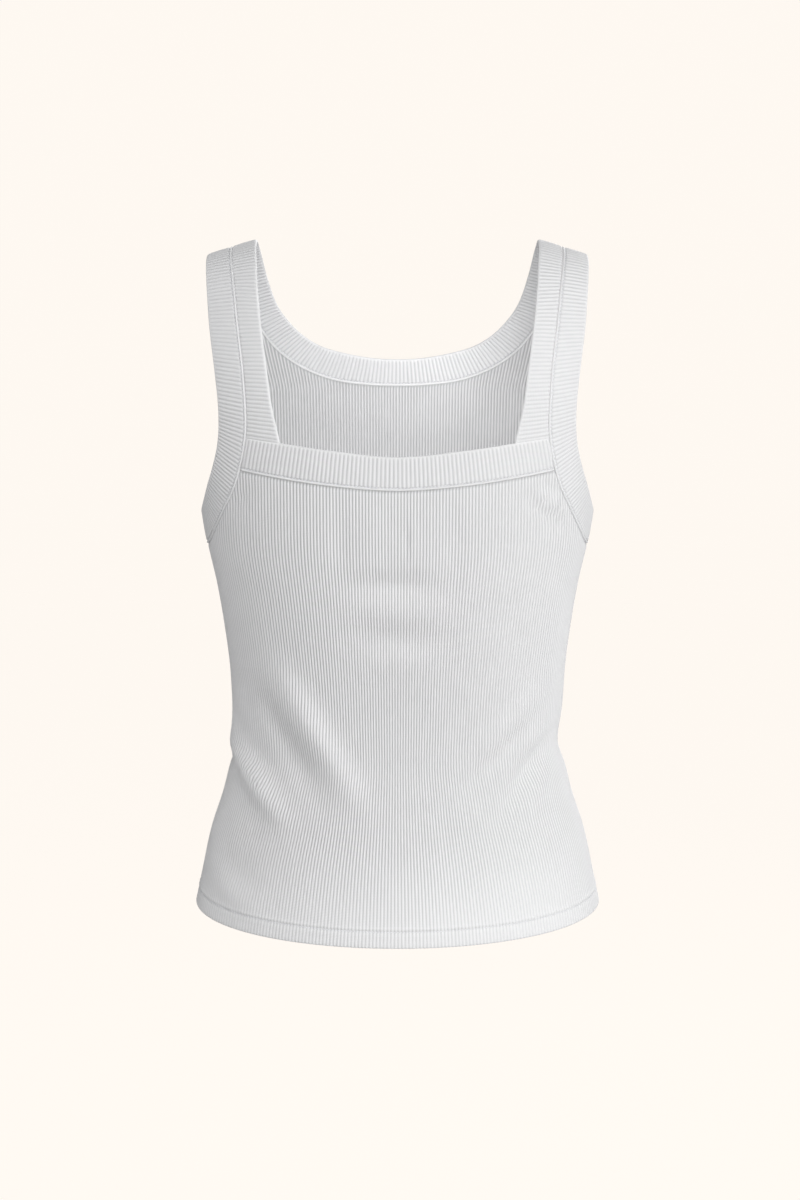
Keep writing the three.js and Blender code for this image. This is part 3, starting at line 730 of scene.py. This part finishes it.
def panel(name, face, rib_count):
    """One body panel: hem to top edge outside, back down inside, side seam to side seam.

    Its columns are even shares of the way across. Each point is the form's, moved straight out by
    the wall, the rib's crest, the folds and the relief beside seams and hem.
    """
    column = np.linspace(0, 1, rib_count * COLUMNS_PER_RIB + 1)
    table = column_table(face, column)
    top, away = top_edge(face, column, table)
    share = np.linspace(0, 1, EVEN_ROWS + 2)[1:-1]
    first, last = HEM_ROWS[-1], top[:, 2:3] - TOP_ROWS[0]
    height = np.hstack(
        [
            np.broadcast_to(HEM_ROWS, (len(column), len(HEM_ROWS))),
            first + (last - first) * share,
            top[:, 2:3] - TOP_ROWS,
        ]
    )
    x = column_x(table, height, np.arange(len(column))[:, None])
    base = on_form(face, x, height)
    base = np.concatenate([base, (top + away * TUCK)[:, None, :]], 1)
    base[:, -1] = settled(base[:, -1])
    normal = outward(base)
    height, x = base[..., 2], base[..., 0]

    ribs = column * rib_count
    crest = rib_crest(ribs)[:, None]
    below_top = np.maximum(top[:, 2:3] - height, 0)
    side = np.minimum(column, 1 - column)[:, None] * SIDE_TO_SIDE
    folds = fold_rise(face, x, height)
    folds = folds * smooth(*FOLDS_BELOW_TOP, below_top) * smooth(*FOLDS_FROM_SIDE, side)
    pinch = bell(side, *SIDE_PINCH)
    stitched = bell(height - HEM_STITCHES, *HEM_GROOVE)
    raised = bell(height - HEM_RIDGE_HEIGHT, *HEM_RIDGE)
    hem_inside = HEM_LAYER * (1 - smooth(HEM_DEPTH, HEM_DEPTH + 1, height))
    rib_height = PANEL_RIB * (0.5 + 0.5 * smooth(*RIBS_GROW, height))

    outside = PANEL_WALL + rib_height * crest + raised - stitched - pinch - bell(below_top, *TOP_PINCH)
    inside = -PANEL_INSIDE_RIB * (1 - crest) - hem_inside + pinch * PINCH_INSIDE
    middle, rounding = (outside + inside) / 2, rounded(height, HEM_RADIUS)
    outside = middle + (outside - middle) * rounding
    inside = middle + (inside - middle) * rounding
    outside[:, -1], inside[:, -1] = TUCKED_OUTSIDE, TUCKED_INSIDE
    outer = base + normal * (outside + folds)[..., None]
    inner = base + normal * (inside + folds)[..., None]
    points = np.concatenate([outer, inner[:, ::-1]], 1)

    # Painted shade: in the rib grooves, fainter near the hem, beside the side seams, under the bands
    # and on the hem's stitch line
    side_crease = bell(side, *SIDE_CREASE)
    outer_crease = np.maximum(bell(below_top, *TOP_CREASE), side_crease)
    inner_crease = np.maximum(bell(below_top, *TOP_INSIDE_CREASE), side_crease)
    hem_crease = bell(height - HEM_STITCHES, *HEM_CREASE)
    growing = SHADE_AT_HEM + (1 - SHADE_AT_HEM) * smooth(*SHADE_GROWS, height)
    rib_shade = RIB_SHADE * (1 - crest) * growing
    outer_shade = np.maximum(np.maximum(rib_shade, outer_crease), hem_crease)
    inner_shade = np.maximum(INSIDE_SHADE * crest, inner_crease)
    painted_shade = np.concatenate([outer_shade, inner_shade[:, ::-1]], 1)
    along = np.concatenate([height, height[:, ::-1]], 1)
    piece = knit_piece(name, points, False, ribs, along, painted_shade, panel_knit)
    return piece, (face, column, table)


# Bands: rows measured from the seam edge and from the free edge
FROM_SEAM = np.array([0.0, 0.1, 0.3, 0.55, 0.85, 1.15, 1.5, 1.75, 2.05, 2.4, 2.8, 3.5, 4.6])
SHARES = np.array([0.25, 0.5, 0.75])
FROM_EDGE = np.array([4.0, 2.4, 1.4, 0.75, 0.3, 0.12, 0.02])

# Relief of a band, in millimetres from its seam edge or its free edge
SEAM_LIFT = 1.55  # of the outer face off the form, at the seam edge
LIP_RISE = 0.55
LIP_RADIUS = 0.55
INNER_LIFT = 0.1
RIDGE_PLACE = 0.85
RIDGE = (0.5, 0.6)  # height and half width
CHANNEL_WIDTH = 0.45
CHANNEL_DEPTH = 0.8
CHANNEL_INSIDE = 0.3
RIBS_START = (1.9, 2.6)
RIBS_STOP = (0.2, 2.2)
RIB_MIDDLE = 0.4  # height on a rib that stays level with the band's outer face
UNDER_REACH = (0.8, 2.4)
UNDER_DROP = 0.75  # how much lower an edge lies that goes under another band
LAP_REACH = (1.2, 2.0)
LAP_DROP = 0.75  # how far a lapping edge reaches down into what it is sewn to
CROWN = 0.25  # how much fuller the band is along its middle
EDGE_RADIUS = 1.15
LAP_CHANGE = 0.004  # share of a band's line over which a seam edge starts to lap over

# Painted shade in a band's creases, as shares of the dark shade colour
# The ribs take at least this much painted shade, so the ridge beside the seam, with none, is a painted
# highlight
LEAST_SHADE = 0.2
CHANNEL_SHADE, CHANNEL_RIB_SHADE = 0.9, 0.4
SEAM_CREASE = (0.35, 0.2)  # share and half width


def band_profile(inward, to_edge, crest, over, end, rib):
    """How far a band's outer and inner faces stand off the form, and the painted shade at each place.

    From the seam edge: a raised ridge, a narrow channel for the stitches, then ribs as far as the
    folded edge, which is rounded. over is 1 where the band laps over what it is sewn to, and 0
    where its seam edge goes under another band; end is 1 at an end that goes under one.
    """
    to_fold = smooth(*RIBS_STOP, to_edge)
    ribbed = np.maximum(smooth(*RIBS_START, inward), 1 - over) * to_fold
    lip = rounded(inward, LIP_RADIUS)
    ridge = bell(inward - RIDGE_PLACE, *RIDGE) * over
    channel = bell(inward - SEAM_STITCHES, 1, CHANNEL_WIDTH) * over
    under = (1 - over) * (1 - smooth(*UNDER_REACH, inward))
    lapped = over * (1 - smooth(*LAP_REACH, inward)) * (0.5 + 0.5 * lip)
    crown = CROWN * np.sin(np.pi * np.clip(inward / (inward + to_edge), 0, 1))
    outer = SEAM_LIFT + LIP_RISE * lip + ridge - CHANNEL_DEPTH * channel + crown
    outer = outer + rib * (crest - RIB_MIDDLE) * ribbed - UNDER_DROP * under
    inner = INNER_LIFT - LAP_DROP * lapped + CHANNEL_INSIDE * channel
    inner = inner - BAND_INSIDE_RIB * crest * ribbed - 0.5 * crown
    round_off = rounded(to_edge, EDGE_RADIUS) * (1 - 0.5 * end)
    middle = (outer + inner) / 2
    # Painted shade in the rib grooves, the stitch channel and the seam crease
    in_channel = channel * (CHANNEL_SHADE + CHANNEL_RIB_SHADE * (1 - crest))
    shade = np.maximum(np.maximum(1 - crest, LEAST_SHADE) * ribbed, in_channel)
    shade = np.maximum(shade, bell(inward, *SEAM_CREASE) * over)
    return middle + (outer - middle) * round_off, middle + (inner - middle) * round_off, shade


def band(name, line, start, end, rib, shading, mirror=False, over_from=0.0, over_to=1.0, tucked=False):
    """One folded band: its cross-section carried along the line, a few columns to each rib.

    Between over_from and over_to its seam edge laps over what it is sewn to.
    """
    t_fine, run = line.even(start, end)
    count = round(run[-1] / BAND_RIB_PITCH)
    steps = count * COLUMNS_PER_BAND_RIB + (0 if line.closed else 1)
    ribs = np.arange(steps) / COLUMNS_PER_BAND_RIB
    reach = ribs / count * run[-1]
    t = np.interp(reach, run, t_fine)
    width = line.width(t)[:, None] + OVERLAP
    first, last = FROM_SEAM[-1], width - FROM_EDGE[0]
    inward = np.hstack(
        [
            np.broadcast_to(FROM_SEAM, (steps, len(FROM_SEAM))),
            first + (last - first) * SHARES,
            width - FROM_EDGE,
        ]
    )
    crest = rib_crest(ribs)[:, None]
    over = smooth(over_from - LAP_CHANGE, over_from, t)
    over = over * (1 - smooth(over_to, over_to + LAP_CHANGE, t))
    to_end = np.minimum(reach, run[-1] - reach)
    tuck = (1 - smooth(0, TUCKED_END, to_end)) * tucked
    over, tuck = over[:, None], tuck[:, None]
    outer, inner, shade = band_profile(inward, width - inward, crest, over, tuck, rib)
    places = (inward - OVERLAP) / (width - OVERLAP)
    points = line.skin(t, np.hstack([places, places[:, ::-1]]), np.hstack([outer, inner[:, ::-1]]))
    if mirror:
        points = points * np.array([-1, 1, 1])
    along = np.hstack([inward, inward[:, ::-1]])
    painted_shade = np.hstack([shade * shading, shade[:, ::-1]])
    return knit_piece(name, points, line.closed, ribs, along, painted_shade, band_knit)


# Stitches
STITCH_PITCH = 2.4
STITCH_LENGTH = 1.7
STITCH_RADIUS = 0.22
STITCH_BOW = 0.9
SEAM_LIFTS = ((1.65, 1), (0.1, -1))  # off the form and the way they face, outside and inside
HEM_LIFTS = ((1.55, 1), (-1.5, -1))
SIDES = 4
RINGS = np.array([(-0.5, 0.12), (-0.36, 0.85), (0.0, 1.0), (0.36, 0.85), (0.5, 0.12)])


def stitches(name, centre, up, ahead):
    """A row of short raised threads, each bowed and pointed, lying along ahead and rising along up."""
    turn = np.arange(SIDES) * 2 * np.pi / SIDES
    beside = np.cross(up, ahead)
    along = np.repeat(RINGS[:, 0], SIDES)
    reach = np.repeat(RINGS[:, 1], SIDES) * STITCH_RADIUS
    sideways = reach * np.tile(np.cos(turn), len(RINGS))
    upward = reach * np.tile(np.sin(turn), len(RINGS)) - STITCH_BOW * along**2
    points = (
        centre[:, None, :]
        + ahead[:, None, :] * (along * STITCH_LENGTH)[None, :, None]
        + beside[:, None, :] * sideways[None, :, None]
        + up[:, None, :] * upward[None, :, None]
    )
    ring, side = np.meshgrid(np.arange(len(RINGS) - 1), np.arange(SIDES), indexing="ij")
    near, next_near = ring * SIDES + side, ring * SIDES + (side + 1) % SIDES
    wall = np.stack([near, next_near, next_near + SIDES, near + SIDES], -1).reshape(-1, 4)
    tip = np.arange(SIDES)
    one = np.vstack([wall, tip[::-1], tip + (len(RINGS) - 1) * SIDES])
    quads = (np.arange(len(centre))[:, None, None] * len(RINGS) * SIDES + one).reshape(-1, 4)
    piece, _ = faces_mesh(name, to_frame(points.reshape(-1, 3)), quads, thread)
    return piece


def run_ahead(row):
    """The way along a row of points, one millimetre long, from each point's two neighbours."""
    ahead = np.gradient(row, axis=0)
    return ahead / np.linalg.norm(ahead, axis=1, keepdims=True)


def seam_stitches(name, line, start, end, mirror=False):
    """Stitches in the channel beside a band's seam, on both faces of the band."""
    t_fine, run = line.even(start, end)
    count = round(run[-1] / STITCH_PITCH)
    t = np.interp((np.arange(count) + 0.5) / count * run[-1], run, t_fine)
    across = np.full((count, 1), SEAM_STITCHES - OVERLAP) / line.width(t)[:, None]
    rows = []
    for lift, facing in SEAM_LIFTS:
        centre = line.skin(t, across, np.full((count, 1), lift))[:, 0]
        rows.append((centre, outward(centre) * facing, run_ahead(centre)))
    centre, up, ahead = (np.vstack(part) for part in zip(*rows))
    if mirror:
        centre, up, ahead = (part * np.array([-1, 1, 1]) for part in (centre, up, ahead))
    piece = stitches(name, centre, up, ahead)
    return piece


def hem_stitches(name, face, column, table):
    """Stitches round one panel's hem, on both faces."""
    count = round(SIDE_TO_SIDE / STITCH_PITCH)
    share = (np.arange(count) + 0.5) / count
    level = table[round(HEM_STITCHES / LEVEL_STEP)]
    x = swing_x(np.interp(share, column, level), HEM_STITCHES)
    height = np.full(count, HEM_STITCHES)
    base = on_form(face, x, height)
    normal, ahead = outward(base), run_ahead(base)
    folds = fold_rise(face, x, height)[:, None]
    centre = np.vstack([base + normal * (folds + lift) for lift, _ in HEM_LIFTS])
    up = np.vstack([normal * facing for _, facing in HEM_LIFTS])
    piece = stitches(name, centre, up, np.vstack([ahead, ahead]))
    return piece


# The garment
back_panel, back_columns = panel("back_panel_knit", -1, BACK_RIBS)
front_panel, front_columns = panel("front_panel_knit", 1, FRONT_RIBS)

# The neck binding ends under the back neck band, and laps over the front panel between its forks
first_span = np.linspace(0, 1 / NECK_SPANS, LINE_STEPS)
end_height = BACK_NECK[0, 4] - NECK_END_DROP
neck_end = first_span[np.argmax(neck_line.seam(first_span)[:, 2] > end_height)]
fork = NECK_FORK_STATION / NECK_SPANS
neck_binding = band(
    "neck_binding_knit",
    neck_line,
    neck_end,
    1 - neck_end,
    STRAP_RIB,
    STRAP_SHADE,
    over_from=fork,
    over_to=1 - fork,
    tucked=True,
)
back_neck_band = band(
    "back_neck_band_knit",
    back_neck_line,
    BAND_END,
    1 - BAND_END,
    BAND_RIB,
    BAND_SHADE,
    tucked=True,
)
round_arm = (armhole_line, 0.0, 1.0 - TINY)
armhole_right = band("armhole_binding_right_knit", *round_arm, STRAP_RIB, STRAP_SHADE)
armhole_left = band("armhole_binding_left_knit", *round_arm, STRAP_RIB, STRAP_SHADE, mirror=True)

neck_thread = seam_stitches("neck_binding_stitches", neck_line, fork, 1 - fork)
back_neck_ends = (THREAD_END, 1 - THREAD_END)
back_neck_thread = seam_stitches("back_neck_band_stitches", back_neck_line, *back_neck_ends)
right_thread = seam_stitches("armhole_right_stitches", *round_arm)
left_thread = seam_stitches("armhole_left_stitches", *round_arm, mirror=True)
back_hem_thread = hem_stitches("back_hem_stitches", *back_columns)
front_hem_thread = hem_stitches("front_hem_stitches", *front_columns)

for piece, node, slot_name in (
    (back_panel, "back_panel", "panel_knit"),
    (front_panel, "front_panel", "panel_knit"),
    (neck_binding, "neck_binding", "band_knit"),
    (back_neck_band, "back_neck_band", "band_knit"),
    (armhole_right, "armhole_binding_right", "band_knit"),
    (armhole_left, "armhole_binding_left", "band_knit"),
):
    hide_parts(node)


# Stage: a cream floor that sweeps up all round, in metres
FLOOR_HEIGHT = -1.6
FLOOR_REACH = 6.5
BEND_RADIUS = 1.5
WALL_HEIGHT = 0.5
DOME_HEIGHT = 6.0
DISC_RADIUS = 0.02
BEND_STEPS = 17
TURN_STEPS = 64


def sweep():
    """A flat round floor whose edge curves up into a wall and a dome, turned about the middle.

    From the side, the wall's foot is a quarter circle and the dome a quarter ellipse. A small disc
    closes the floor's middle, and another one the top.
    """
    bend = np.linspace(0, math.pi / 2, BEND_STEPS)
    foot = FLOOR_REACH - BEND_RADIUS + BEND_RADIUS * np.sin(bend)
    foot_rise = FLOOR_HEIGHT + BEND_RADIUS - BEND_RADIUS * np.cos(bend)
    dome = (FLOOR_REACH - DISC_RADIUS) * np.cos(bend) + DISC_RADIUS
    dome_rise = FLOOR_HEIGHT + BEND_RADIUS + WALL_HEIGHT + DOME_HEIGHT * np.sin(bend)
    reach = np.concatenate([[DISC_RADIUS], foot, dome])
    rise = np.concatenate([[FLOOR_HEIGHT], foot_rise, dome_rise])
    turn = np.arange(TURN_STEPS)[:, None] * 2 * np.pi / TURN_STEPS
    points = np.stack(np.broadcast_arrays(reach * np.cos(turn), reach * np.sin(turn), rise), -1)
    count = len(reach)
    i, k = np.arange(TURN_STEPS)[:, None], np.arange(count - 1)
    after = (i + 1) % TURN_STEPS * count
    quads = np.stack([i * count + k, i * count + k + 1, after + k + 1, after + k], -1)
    middle = np.arange(TURN_STEPS) * count
    discs = [middle.tolist(), (middle[::-1] + count - 1).tolist()]
    mesh = bpy.data.meshes.new("floor")
    mesh.from_pydata(points.reshape(-1, 3).tolist(), [], quads.reshape(-1, 4).tolist() + discs)
    mesh.materials.append(paper_finish())
    floor_piece = bpy.data.objects.new("floor", mesh)
    bpy.context.scene.collection.objects.link(floor_piece)
    # It neither lights the cloth nor shades it
    floor_piece.visible_diffuse = False
    floor_piece.visible_glossy = False
    floor_piece.visible_shadow = False


sweep()


# Soft light: large soft boxes all round, strongest from the lower right, and a little inside
BODY = np.array([0, 0, -0.25])
SOFT_BOX = 1.5
FILL_WIDTH, FILL_HEIGHT = 0.18, 0.30
FILL_PLACE = (0, 0, -0.24)


def soft_box(name, place, power):
    """A large square light, turned towards the middle of the body."""
    lamp = bpy.data.lights.new(name, "AREA")
    lamp.shape = "SQUARE"
    lamp.size = SOFT_BOX
    lamp.energy = power
    light = bpy.data.objects.new(name, lamp)
    away = (np.array(place) - BODY) / np.linalg.norm(np.array(place) - BODY)
    light.location = place
    light.rotation_euler = (math.acos(away[2]), 0.0, math.atan2(away[0], -away[1]))
    bpy.context.scene.collection.objects.link(light)


def inner_fill(name, turn, power):
    """A panel of light inside the garment, facing one of its walls, as if light came through it."""
    lamp = bpy.data.lights.new(name, "AREA")
    lamp.shape = "RECTANGLE"
    lamp.size = FILL_WIDTH
    lamp.size_y = FILL_HEIGHT
    lamp.energy = power
    light = bpy.data.objects.new(name, lamp)
    light.location = FILL_PLACE
    light.rotation_euler = (math.pi / 2, 0.0, turn)
    light.visible_camera = False
    bpy.context.scene.collection.objects.link(light)


soft_box("front high", (0.5, -1.9, 1.9), 35)
soft_box("front low", (0.0, -2.3, -0.6), 18)
soft_box("right low", (2.2, -1.4, -0.6), 31)
soft_box("left", (-2.5, -0.3, 0.5), 12)
soft_box("behind", (0.9, 2.1, 0.7), 58)
inner_fill("towards the front", 0.0, 0.125)
inner_fill("towards the back", math.pi, 0.03)


def studio_air():
    """The same soft light from every side."""
    world = bpy.data.worlds.new("studio air")
    world.use_nodes = True
    air = world.node_tree.nodes["Background"].inputs
    air["Color"].default_value = (1.0, 1.0, 1.0, 1)
    air["Strength"].default_value = 0.2
    bpy.context.scene.world = world


studio_air()
bpy.context.scene.view_settings.view_transform = "Standard"
